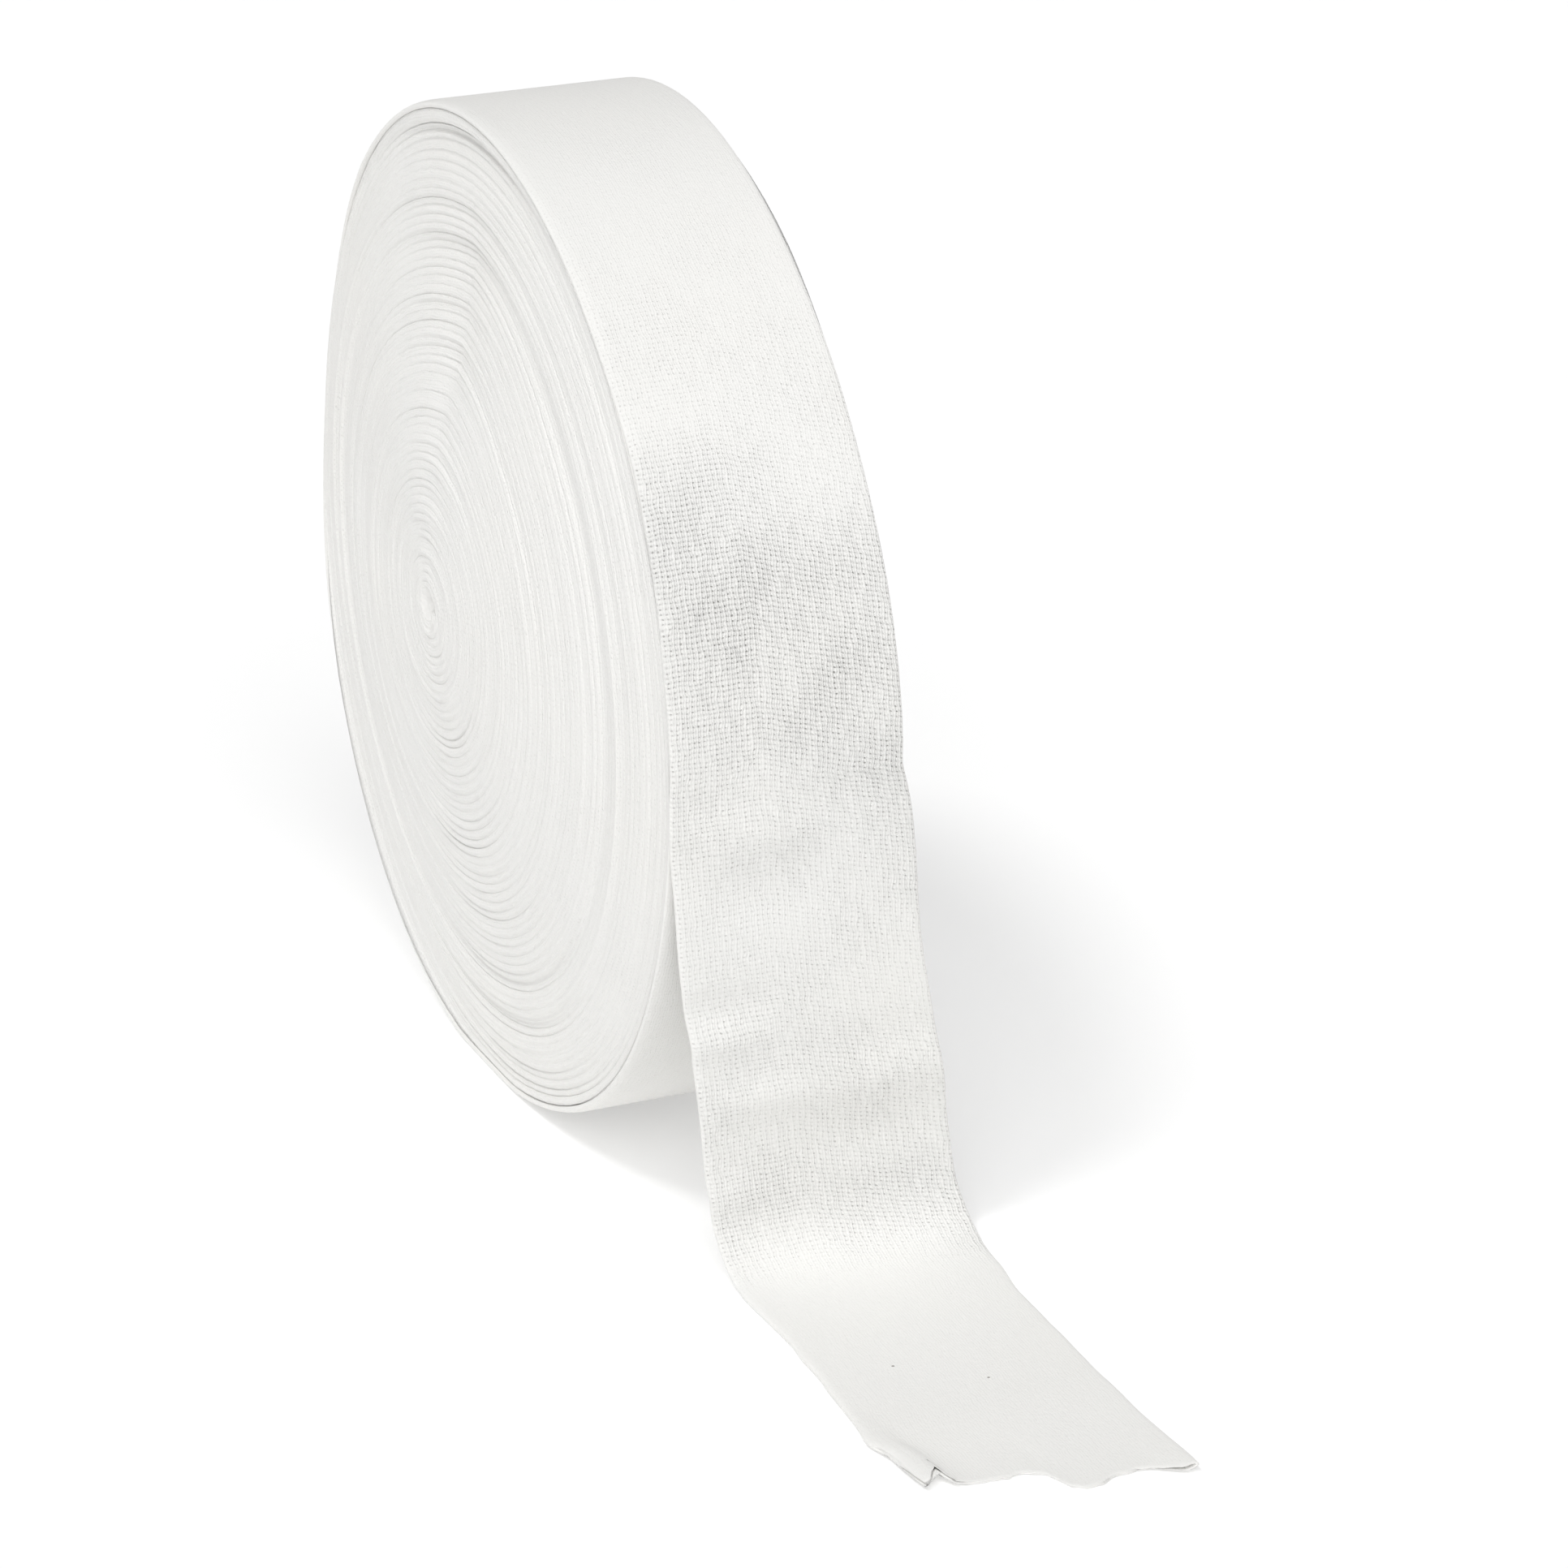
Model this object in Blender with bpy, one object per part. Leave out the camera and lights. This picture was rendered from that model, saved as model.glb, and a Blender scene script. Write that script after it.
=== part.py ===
"""Tubular stockinette roll: a flat knitted tube wound on itself, with its loose end run out.

Metres, +Z up. The origin is the middle of the flat spot that the roll stands on. The roll's
axis is Y, the spiral face of the photograph looks to -Y, and the loose end runs out to +X.
"""

import math

import bmesh
import bpy
from mathutils import Vector

MM = 0.001

# Driving sizes
TAPE_WIDTH = 50.8 * MM  # the tube pressed flat, as it is wound
CLOTH = 1.75 * MM  # both layers of the flat tube
TURN = 2.04 * MM  # one turn of the winding, cloth and slack
ROLL_RADIUS = 116.9 * MM  # before the last turns go out of round
AXIS_HEIGHT = 113.9 * MM  # a little under the radius, so the weight makes a flat spot
CLEARANCE = 0.3 * MM  # between the loose end and the roll it comes off

# Wound form
ANGLE_STEPS = 72
SPIRAL_TURNS = 6  # how deep the step of a turn, under the loose end, shows on the faces
LOOSE_TURNS = 8  # how deep the outer turns go out of round
FLARE = 3.4 * MM  # the last turn spreads at its far edge as it comes off
FLARE_ANGLE = 75.0  # degrees of the rim, above the front, over which it spreads
FLARE_TURNS = 3  # how many of the outer turns it takes with it
START_SHIFT = Vector((-3.0, 0.0, 4.0)) * MM  # the winding was begun off the middle

# How the outer turns go out of round: they stand up off the rest at the top and settle at
# the bottom. Columns: waves round the roll, cosine and sine parts in millimetres.
OUT_OF_ROUND = (
    (2, -0.96, 0.41),
    (3, 0.74, -1.47),
)

# Half a section through the winding, in two halves, from the axis out to the rim. Columns:
# distance from the axis, how far the face stands out past the tape's own edge, and how much
# deeper the gap between two turns gets where the winding gapes. All in millimetres.
SPIRAL_FACE = (
    (0.0, 11.6, 0.0),
    (20.0, 10.9, 0.0),
    (41.8, 9.5, 0.0),
    (43.6, 9.0, 0.6),
    (45.4, 9.1, 0.0),
    (59.0, 7.2, 0.0),
    (61.0, 6.7, 0.7),
    (63.0, 6.7, 0.0),
    (68.7, 5.8, 0.0),
    (70.5, 5.2, 0.8),
    (72.3, 5.2, 0.0),
    (82.8, 3.2, 0.0),
    (85.4, 1.6, 2.4),
    (88.0, 2.7, 0.0),
    (92.4, 2.0, 0.0),
    (94.6, 1.2, 1.4),
    (96.8, 1.4, 0.0),
    (104.6, -0.2, 0.0),
    (106.6, -1.0, 1.6),
    (108.6, -0.8, 0.4),
    (110.8, -1.2, 1.8),
    (112.7, -1.5, 2.9),
    (113.9, -0.7, 0.8),
    (114.9, -0.2, 0.0),
    (116.1, -0.4, 0.0),
    (116.9, -2.0, 0.0),
)
FAR_FACE = (
    (0.0, -6.4, 0.0),
    (20.0, -6.2, 0.0),
    (42.0, -5.4, 0.0),
    (68.0, -3.4, 0.0),
    (92.0, -0.8, 0.0),
    (110.0, -0.2, 0.0),
    (112.7, -1.0, 0.0),
    (114.5, 0.0, 0.0),
    (116.1, -0.2, 0.0),
    (116.9, -1.8, 0.0),
)

# Where round the roll the turns gape. Columns: angle above the front, half the arc it
# covers, and how much, from 0 to 1.
GAPES = (
    (95.0, 48.0, 1.0),
    (298.0, 44.0, 0.85),
    (180.0, 50.0, 0.4),
)
GAPE_ELSEWHERE = 0.15

# A soft dent in the spiral face, where the turns are bent in above the middle.
DENT_ANGLE = 96.0
DENT_ARC = 46.0  # half of it, in degrees
DENT_RADIUS = 70.0 * MM
DENT_REACH = 48.0 * MM
DENT_DEPTH = 5.0 * MM

# Loose end: its line down the front of the roll and along the surface, seen from the side,
# at the middle of the cloth. Columns: forward of where it leaves the roll, height, the near
# edge and the far edge along Y. All in millimetres.
TAIL_LINE = (
    (0.0, 113.6, -25.2, 28.7),
    (0.0, 104.0, -24.9, 30.7),
    (0.3, 92.5, -23.7, 31.9),
    (0.1, 73.5, -22.6, 33.2),
    (0.4, 54.0, -20.2, 36.2),
    (0.5, 38.0, -18.5, 38.9),
    (0.2, 24.0, -17.3, 40.5),
    (0.8, 13.0, -16.2, 41.9),
    (3.6, 6.2, -15.4, 43.2),
    (9.2, 2.3, -15.3, 43.5),
    (17.5, 0.98, -15.1, 43.0),
    (33.0, 0.88, -14.2, 41.8),
    (57.0, 0.88, -14.7, 41.0),
    (76.0, 0.88, -16.0, 40.7),
    (87.0, 0.88, -16.8, 41.4),
    (95.0, 0.88, -15.4, 42.0),
    (106.0, 0.88, -14.7, 41.7),
)
LINE_STEP = 4.0 * MM

# Soft ripples across the hanging cloth. Columns: height of the ripple's middle, how far it
# rises from the near edge to the far edge, how far it stands forward, half its breadth, and
# its place and half its reach across the cloth, from 0 at the near edge to 1.
RIPPLES = (
    (101.0, 6.0, 1.2, 7.0, 0.15, 0.40),
    (104.0, 14.0, 1.3, 8.0, 0.85, 0.35),
    (76.0, 8.0, -1.1, 10.0, 0.30, 0.50),
    (57.0, 2.0, 1.6, 6.0, 0.15, 0.45),
    (54.0, 8.0, 1.5, 8.0, 0.80, 0.45),
    (41.0, 6.0, -1.3, 7.0, 0.75, 0.50),
    (33.0, 10.0, 1.0, 6.0, 0.45, 0.40),
    (19.0, 14.0, -1.5, 6.0, 0.20, 0.45),
)

# The raw end. Columns: place across the cloth, how far the cut runs past the line's end, how
# far the edge lifts off the surface, and how far back it lifts. All but the place in
# millimetres.
RAW_END = (
    (0.00, 2.5, 3.4, 34.0),
    (0.05, 1.0, 3.6, 32.0),
    (0.09, -0.5, 2.6, 24.0),
    (0.14, 4.4, 1.0, 16.0),
    (0.25, 4.0, 0.3, 12.0),
    (0.36, 4.2, 0.6, 12.0),
    (0.44, 4.8, 1.2, 12.0),
    (0.51, 12.0, 0.6, 12.0),
    (0.57, 15.0, 0.2, 12.0),
    (0.65, 13.6, 0.5, 12.0),
    (0.77, 11.0, 1.2, 12.0),
    (0.87, 11.8, 1.8, 14.0),
    (0.94, 15.4, 2.4, 16.0),
    (1.00, 15.0, 3.0, 18.0),
)
CUT_REACH = 26.0 * MM  # how far back from the end the cut pulls the cloth
ACROSS = 16  # steps across the loose end
EDGE_ROUND = 0.9 * MM  # the tube's edges are folds, so they are rounded in

WHITE_COTTON = (0.90, 0.90, 0.88, 1.0)


def clear_scene():
    for thing in list(bpy.data.objects):
        bpy.data.objects.remove(thing, do_unlink=True)


def cotton(name):
    material = bpy.data.materials.new(name)
    material.use_nodes = True
    finish = material.node_tree.nodes["Principled BSDF"]
    finish.inputs["Base Color"].default_value = WHITE_COTTON
    finish.inputs["Roughness"].default_value = 0.95
    finish.inputs["Metallic"].default_value = 0.0
    return material


def smooth_step(value):
    value = min(max(value, 0.0), 1.0)
    return value * value * (3.0 - 2.0 * value)


def bump(distance, reach):
    """A soft hill: 1 at no distance, 0 from its reach on."""
    return smooth_step(1.0 - abs(distance) / reach)


def between(table, column, place):
    """The value of a table's column at a place given by its first column."""
    for low, high in zip(table, table[1:]):
        if place <= high[0]:
            share = (place - low[0]) / (high[0] - low[0])
            return low[column] + (high[column] - low[column]) * share
    return table[-1][column]


def skin(name, rows, round_trip, material, collection):
    """A closed mesh over rows of points. The rows go round and meet, or end in flat caps."""
    mesh = bmesh.new()
    rings = [[mesh.verts.new(point) for point in row] for row in rows]
    if round_trip:
        strips = zip(rings, rings[1:] + rings[:1])
        last = len(rows[0]) - 1
    else:
        strips = zip(rings, rings[1:])
        last = len(rows[0])
    for ring, following in strips:
        for i in range(last):
            j = (i + 1) % len(ring)
            mesh.faces.new((ring[i], ring[j], following[j], following[i]))
    if not round_trip:
        mesh.faces.new(rings[0])
        mesh.faces.new(rings[-1])
    bmesh.ops.remove_doubles(mesh, verts=mesh.verts, dist=1e-6)
    bmesh.ops.dissolve_degenerate(mesh, edges=mesh.edges, dist=1e-6)
    bmesh.ops.recalc_face_normals(mesh, faces=mesh.faces)
    data = bpy.data.meshes.new(name)
    mesh.to_mesh(data)
    mesh.free()
    data.materials.append(material)
    data.shade_smooth()
    data.set_sharp_from_angle(angle=math.radians(40))
    piece = bpy.data.objects.new(name, data)
    collection.objects.link(piece)
    return piece


def gape(angle):
    """How much the turns stand apart at an angle round the roll, from 0 to 1."""
    most = GAPE_ELSEWHERE
    for middle, half, amount in GAPES:
        most = max(most, amount * bump(angle - middle, half))
    return most


def out_of_round(angle):
    """How far the last turn stands off a circle at an angle round the roll."""
    turn = math.radians(angle)
    return sum(c * math.cos(n * turn) + s * math.sin(n * turn) for n, c, s in OUT_OF_ROUND) * MM


def roll_row(angle):
    """The half section at an angle in degrees above the front, going up and over."""
    outward = Vector((math.cos(math.radians(angle)), 0, math.sin(math.radians(angle))))
    flare = FLARE * bump(angle, FLARE_ANGLE)
    dent = DENT_DEPTH * bump(angle - DENT_ANGLE, DENT_ARC)
    row = []
    for side, face in ((-1, SPIRAL_FACE), (1, FAR_FACE[::-1])):
        for radius, stands_out, gap in face:
            radius *= MM
            in_turns = (ROLL_RADIUS - radius) / TURN
            out = TAPE_WIDTH / 2 + (stands_out - gap * gape(angle)) * MM
            if side > 0:
                out += flare * smooth_step((FLARE_TURNS - in_turns) / 2)
            else:
                out -= dent * bump(radius - DENT_RADIUS, DENT_REACH)
            reach = radius - TURN * angle / 360.0 * smooth_step(1 - in_turns / SPIRAL_TURNS)
            reach += out_of_round(angle) * smooth_step(1 - in_turns / LOOSE_TURNS)
            point = outward * reach + START_SHIFT * (1 - radius / ROLL_RADIUS)
            row.append(Vector((point.x, side * out, max(AXIS_HEIGHT + point.z, 0.0))))
    return row


def wound_roll(material, collection):
    """Evenly spaced half sections, and one just short of the full turn, where the winding
    steps down by a turn under the loose end."""
    angles = [360.0 * i / ANGLE_STEPS for i in range(ANGLE_STEPS)] + [359.9]
    return skin("wound_roll", [roll_row(a) for a in angles], True, material, collection)


def smooth_line(points, step):
    """A Catmull-Rom curve through points of four numbers, sampled at about one step."""
    ends = [points[0]] + list(points) + [points[-1]]
    line = []
    for before, start, end, after in zip(ends, ends[1:], ends[2:], ends[3:]):
        count = max(1, round(math.dist(start[:2], end[:2]) / step))
        for i in range(count):
            t = i / count
            line.append(tuple(
                0.5 * (2 * b + (c - a) * t + (2 * a - 5 * b + 4 * c - d) * t * t
                       + (3 * b - a - 3 * c + d) * t ** 3)
                for a, b, c, d in zip(before, start, end, after)))
    return line + [points[-1]]


def ripple(height, across):
    """How far the hanging cloth stands forward at a height and a place across."""
    total = 0.0
    for middle, rise, forward, half, place, reach in RIPPLES:
        there = middle * MM + rise * MM * across
        total += forward * MM * bump(height - there, half * MM) * bump(across - place, reach)
    return total


def loose_tail(material, collection):
    """Flat sections of the tube along its line, rippled, and pulled about at the raw end."""
    leaves = ROLL_RADIUS + out_of_round(0.0) - TURN + CLEARANCE + CLOTH / 2
    points = [tuple(v * MM for v in point) for point in TAIL_LINE]
    line = smooth_line([(leaves + x, z, near, far) for x, z, near, far in points], LINE_STEP)
    left = [0.0]
    for here, there in zip(line[::-1], line[-2::-1]):
        left.append(left[-1] + math.dist(here[:2], there[:2]))
    left.reverse()
    rows = []
    for i, (x, z, near, far) in enumerate(line):
        before, after = line[max(i - 1, 0)], line[min(i + 1, len(line) - 1)]
        along = Vector((after[0] - before[0], 0, after[1] - before[1])).normalized()
        outward = Vector((-along.z, 0, along.x))
        cut = smooth_step(1 - left[i] / CUT_REACH)
        over, under = [], []
        for k in range(ACROSS + 1):
            across = k / ACROSS
            lift = smooth_step(1 - left[i] / (between(RAW_END, 3, across) * MM))
            middle = Vector((x, near + (far - near) * across, z))
            middle += along * cut * between(RAW_END, 1, across) * MM
            middle += outward * (ripple(z, across) + lift * between(RAW_END, 2, across) * MM)
            half = CLOTH / 2
            if k in (0, ACROSS):
                half -= EDGE_ROUND / 2
            over.append(middle + outward * half)
            under.append(middle - outward * half)
        row = over + under[::-1]
        rows.append([Vector((p.x, p.y, max(p.z, 0.0))) for p in row])
    return skin("loose_tail", rows, False, material, collection)


clear_scene()
parts = bpy.data.collections.new("tubular_stockinette_roll")
bpy.context.scene.collection.children.link(parts)
cloth = cotton("white_cotton_knit")
wound_roll(cloth, parts)
loose_tail(cloth, parts)
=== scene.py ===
import math

import bpy
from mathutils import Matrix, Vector, noise


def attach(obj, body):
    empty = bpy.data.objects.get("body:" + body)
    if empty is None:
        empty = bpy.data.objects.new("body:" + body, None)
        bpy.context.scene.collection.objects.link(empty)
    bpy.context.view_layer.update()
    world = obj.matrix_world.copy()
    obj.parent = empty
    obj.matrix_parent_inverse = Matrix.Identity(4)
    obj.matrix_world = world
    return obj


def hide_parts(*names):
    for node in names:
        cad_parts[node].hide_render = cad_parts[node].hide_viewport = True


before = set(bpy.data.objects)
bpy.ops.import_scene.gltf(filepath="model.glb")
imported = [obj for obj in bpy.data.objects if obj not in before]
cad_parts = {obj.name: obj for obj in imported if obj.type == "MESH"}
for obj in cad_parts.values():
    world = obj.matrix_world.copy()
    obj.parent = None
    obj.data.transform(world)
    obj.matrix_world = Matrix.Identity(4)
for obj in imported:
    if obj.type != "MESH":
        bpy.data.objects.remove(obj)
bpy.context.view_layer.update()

# Wound turns
# One cotton tube, knitted in the round and pressed flat, wound on itself about 56 times with
# no core. Each face shows the folded edges of the turns, one soft ridge beside the next, and
# the winding has crept sideways, so the face to -Y stands proud and the other is dished.
MM = 0.001
TAPE_WIDTH = 50.8 * MM  # the tube pressed flat
CLOTH = 1.75 * MM  # both its layers
TURN = 2.04 * MM  # from one turn of the winding to the next
ROLL_RADIUS = 116.9 * MM  # where the last turn leaves the roll
AXIS_HEIGHT = 113.9 * MM
PRESS_REACH = 10 * MM  # how deep the roll's weight presses the turns it stands on
TURNS = 54  # inside the last one
LOOSE_TURNS = 8  # the outer turns that settle out of round
START_SHIFT = Vector((-3.0, 0.0, 4.0)) * MM  # the winding was begun off the middle

# How the outer turns go out of round. Columns: waves round the roll, cosine and sine parts
# in millimetres.
OUT_OF_ROUND = (
    (2, -0.96, 0.41),
    (3, 0.74, -1.47),
)

# How much of that slack a turn takes where it stands up. Columns: turns back from where the
# cloth leaves the roll, and the share.
SLACK = (
    (0.0, 1.0),
    (0.9, 1.0),
    (1.15, 0.50),
    (3.6, 0.44),
    (4.3, 0.22),
    (8.0, 0.0),
)

# Where the folds lie on each face. Columns: distance from the axis, how far the fold stands
# out past the tape's own edge, and how deep the gap beside it goes where the winding gapes.
# All in millimetres.
SPIRAL_FACE = (
    (0.0, 11.6, 0.0),
    (20.0, 10.9, 0.0),
    (41.8, 9.5, 0.0),
    (43.6, 9.0, 0.5),
    (45.4, 9.1, 0.0),
    (59.0, 7.2, 0.0),
    (61.0, 6.7, 0.6),
    (63.0, 6.7, 0.0),
    (68.7, 5.8, 0.0),
    (70.5, 5.2, 0.7),
    (72.3, 5.2, 0.0),
    (82.8, 2.9, 0.0),
    (85.4, 1.9, 1.6),
    (88.0, 2.4, 0.0),
    (92.4, 2.0, 0.0),
    (94.6, 1.2, 1.0),
    (96.8, 1.4, 0.0),
    (104.6, -0.2, 0.0),
    (106.6, -1.0, 1.2),
    (108.6, -0.8, 0.4),
    (110.8, -1.2, 2.4),
    (112.7, -1.5, 1.7),
    (113.9, -0.7, 0.8),
    (114.9, -0.2, 0.0),
    (118.0, -0.2, 0.0),
)
FAR_FACE = (
    (0.0, -6.4, 0.0),
    (20.0, -6.2, 0.0),
    (42.0, -5.4, 0.0),
    (68.0, -3.4, 0.0),
    (92.0, -0.8, 0.0),
    (110.0, -0.2, 0.0),
    (112.7, -1.0, 0.5),
    (114.5, 0.0, 0.0),
    (118.0, -0.2, 0.0),
)

# Where round the roll the turns gape. Columns: degrees above the front, half the arc, and
# how much, from 0 to 1.
GAPES = (
    (95.0, 48.0, 1.0),
    (288.0, 56.0, 1.0),
    (180.0, 50.0, 0.4),
)
GAPE_ELSEWHERE = 0.22
GAP_BREADTH = 0.3  # how wide a gap opens for its depth

# The last turn's near fold. Columns: degrees above the front, how far it keeps its lip past the
# next folds, and how far the gap beside it opens, as shares.
LIP = (
    (0.0, 1.0, 0.1),
    (35.0, 0.1, 0.1),
    (75.0, 1.0, 1.0),
    (140.0, 1.0, 1.0),
    (200.0, 0.5, 0.3),
    (240.0, 0.8, 0.05),
    (320.0, 0.7, 0.05),
    (360.0, 1.0, 0.1),
)
LIP_HEIGHT = 1.1 * MM
LIP_START = 2.0  # the lip counts by this share, 1 at most,
LIP_LOSS = 1.5  # less this for each turn back
LIP_GAP_TURNS = 2.3  # how many turns back its own gap counts
LIP_GAP_FADE = 3  # and how steeply that ends

DENT_ANGLE = 91.0  # a dent above the middle of the face to -Y, where the turns are bent in
DENT_ARC = 48.0
DENT_RADIUS = 70.0 * MM
DENT_REACH = 48.0 * MM
DENT_DEPTH = 5.0 * MM

FLARE = 3.4 * MM  # the last turns spread at their far edge as they come off
FLARE_ANGLE = 75.0  # how far round from where the cloth leaves
FLARE_TURNS = 3
FLARE_FADE = 2  # over so many of those turns it goes again

FOLD = 2.0 * MM  # the broadest that the tube's folded edge puffs up
FOLD_ROUND = 0.42 * MM  # how far a pressed fold stands out of the groove beside it
FOLD_UNEVEN = 0.55 * MM  # how unevenly the folds stand out
UNEVEN_FROM = 0.9  # turns back, where that begins
UNEVEN_OVER = 1.5  # turns over which it comes in
UNEVEN_PRESSED = 0.35  # the share of it left where the turns are pressed shut
UNEVEN_GAPING = 0.65  # and the share that comes where they gape
FOLD_WAVES = 2.3  # how quickly it wanders, to a turn
FINE_WAVES = 9.1  # and its finer part
CLOSED_AT = 0.45 * MM  # how deep the last turn's gap goes before the turns touch
TURN_UNEVEN = 0.12 * MM  # how unevenly the turns lie on each other
TURN_WAVES = 3  # how quickly that wanders, to a turn
TURN_UNEVEN_OVER = 3  # turns over which it comes in
COLUMNS = 96  # steps round the roll
NEAR_ARC_STEPS = 8  # steps round one fold of the face to -Y
FAR_ARC_STEPS = 5  # and of the other

WALE = 1.17 * MM  # from one upright row of stitches to the next, across the cloth
COURSE = 1.12 * MM  # from one course of stitches to the next, along it
WALES = 88  # round the tube

# Each of these wanders on its own. The last three have one lane for each face.
TURN_LANE = 1
FOLD_LANE = 2
FINE_LANE = 5
FIRM_LANE = 11
LANES_APART = (7.31, 3.7)  # from one lane to the next in the noise
CREASE_SHARPNESS = 1.6


def smooth_step(value):
    value = min(max(value, 0.0), 1.0)
    return value * value * (3.0 - 2.0 * value)


def bump(distance, reach):
    """A soft hill: 1 at no distance, 0 from its reach on."""
    return smooth_step(1.0 - abs(distance) / reach)


def between(table, column, place):
    """The value of a table's column at a place given by its first column."""
    for low, high in zip(table, table[1:]):
        if place <= high[0]:
            share = max(0.0, (place - low[0]) / (high[0] - low[0]))
            return low[column] + (high[column] - low[column]) * share
    return table[-1][column]


def wander(place, lane):
    """A slow wandering between -1 and 1, another one for each lane."""
    return noise.noise(Vector((place, lane * LANES_APART[0], lane * LANES_APART[1])))


def crease(distance, reach):
    """A hill with a sharp top: 1 at no distance, 0 from its reach on."""
    return max(1.0 - abs(distance) / reach, 0.0) ** CREASE_SHARPNESS


def gape(angle):
    most = GAPE_ELSEWHERE
    for middle, half, amount in GAPES:
        most = max(most, amount * bump(angle - middle, half))
    return most


def out_of_round(angle):
    turn = math.radians(angle)
    return sum(c * math.cos(n * turn) + s * math.sin(n * turn) for n, c, s in OUT_OF_ROUND) * MM


def cloth_radius(turns):
    """From the axis to the outer side of the cloth, so many turns back from where it leaves."""
    slack = out_of_round(turns % 1 * 360)
    if slack > 0:
        slack *= between(SLACK, 1, turns)
    else:
        slack *= smooth_step(1 - turns / LOOSE_TURNS)
    uneven = smooth_step((turns - 1) / TURN_UNEVEN_OVER) * TURN_UNEVEN
    return ROLL_RADIUS - TURN * turns + slack + uneven * wander(turns * TURN_WAVES, TURN_LANE)


def cloth_length(turns):
    """Length of cloth wound on in so many turns back from where it leaves."""
    return 2 * math.pi * turns * (ROLL_RADIUS - CLOTH / 2 - TURN * turns / 2)


def fold_out(side, turns, radius):
    """How far from the middle of the tape a turn's folded edge stands, and its gap's depth."""
    angle = turns % 1 * 360
    table = SPIRAL_FACE if side < 0 else FAR_FACE
    gap = between(table, 2, radius / MM) * MM * gape(angle)
    outermost = smooth_step((LIP_GAP_TURNS - turns) * LIP_GAP_FADE)
    gap *= 1 - (1 - between(LIP, 2, angle)) * outermost
    out = TAPE_WIDTH / 2 + between(table, 1, radius / MM) * MM - gap / 3
    inside = smooth_step((turns - UNEVEN_FROM) / UNEVEN_OVER)
    inside *= UNEVEN_PRESSED + UNEVEN_GAPING * gape(angle)
    broad = wander(turns * FOLD_WAVES, FOLD_LANE + side)
    fine = wander(turns * FINE_WAVES, FINE_LANE + side)
    out += FOLD_UNEVEN * inside * (broad + fine)
    if side > 0:
        from_leaving = min(angle, 360 - angle) if turns > 0.5 else angle
        flare = FLARE * bump(from_leaving, FLARE_ANGLE)
        out += flare * smooth_step((FLARE_TURNS - turns) / FLARE_FADE)
    else:
        dent = crease(angle - DENT_ANGLE, DENT_ARC) * bump(radius - DENT_RADIUS, DENT_REACH)
        out -= DENT_DEPTH * dent
        lip = smooth_step(LIP_START - turns * LIP_LOSS)
        out -= LIP_HEIGHT * (1 - between(LIP, 1, angle)) * lip
    return out, gap


def on_roll(turns, radius, across):
    """A point of the winding, with the turns that the roll stands on pressed together."""
    angle = turns % 1 * 360
    turn = math.radians(angle)
    rim = ROLL_RADIUS - TURN * angle / 360 + out_of_round(angle)
    pressed = max(0.0, -(AXIS_HEIGHT + rim * math.sin(turn)))
    pressed *= max(0.0, 1 - (rim - radius) / PRESS_REACH)
    point = Vector((math.cos(turn) * radius, across, math.sin(turn) * radius + AXIS_HEIGHT))
    return point + START_SHIFT * (1 - radius / ROLL_RADIUS) + Vector((0, 0, pressed))


class Cloth:
    """Corner by corner, a piece's mesh and where each corner lies among the stitches."""

    def __init__(self):
        self.points = []
        self.faces = []
        self.stitches = []

    def add_point(self, point):
        self.points.append(point)
        return len(self.points) - 1

    def add_face(self, corners):
        """Corners are pairs: a point's number, and its wale and course."""
        self.faces.append([number for number, _ in corners])
        self.stitches.extend(stitch for _, stitch in corners)

    def finish(self, name, material):
        mesh = bpy.data.meshes.new(name)
        mesh.from_pydata(self.points, [], self.faces)
        layer = mesh.uv_layers.new(name="stitches")
        flat = [value for stitch in self.stitches for value in stitch]
        layer.uv.foreach_set("vector", flat)
        mesh.materials.append(material)
        mesh.shade_smooth()
        mesh.validate()
        piece = bpy.data.objects.new(name, mesh)
        bpy.context.scene.collection.objects.link(piece)
        return piece


class Thread:
    """One value in a finish. Sums and products of threads add the finish's Math nodes.
    A thread with no socket only adds nodes."""

    def __init__(self, tree, socket=None):
        self.tree = tree
        self.socket = socket

    def node(self, kind, settings, sockets, output=0):
        """A node of any kind. Its settings are set first, then values or threads go in."""
        made = self.tree.nodes.new(kind)
        for name, value in settings.items():
            setattr(made, name, value)
        for name, value in sockets.items():
            if isinstance(value, Thread):
                self.tree.links.new(value.socket, made.inputs[name])
            else:
                made.inputs[name].default_value = value
        return Thread(self.tree, made.outputs[output])

    def maths(self, operation, *values):
        return self.node("ShaderNodeMath", {"operation": operation}, dict(enumerate(values)))

    def __add__(self, other):
        return self.maths("ADD", self, other)

    def __radd__(self, other):
        return self.maths("ADD", other, self)

    def __sub__(self, other):
        return self.maths("SUBTRACT", self, other)

    def __rsub__(self, other):
        return self.maths("SUBTRACT", other, self)

    def __mul__(self, other):
        return self.maths("MULTIPLY", self, other)

    def __rmul__(self, other):
        return self.maths("MULTIPLY", other, self)

    def __truediv__(self, other):
        return self.maths("DIVIDE", self, other)

    def __rtruediv__(self, other):
        return self.maths("DIVIDE", other, self)

    def __abs__(self):
        return self.maths("ABSOLUTE", self)


COTTON = (0.872, 0.869, 0.855, 1.0)
COTTON_WARM = (0.882, 0.873, 0.843, 1.0)
# painted shade: the dark inside each pinhole of the knit
PINHOLE_SHADE = (0.40, 0.39, 0.37, 1.0)
FLECK = (0.16, 0.14, 0.12, 1.0)
STITCH_HEIGHT = 0.34 * MM

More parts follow.
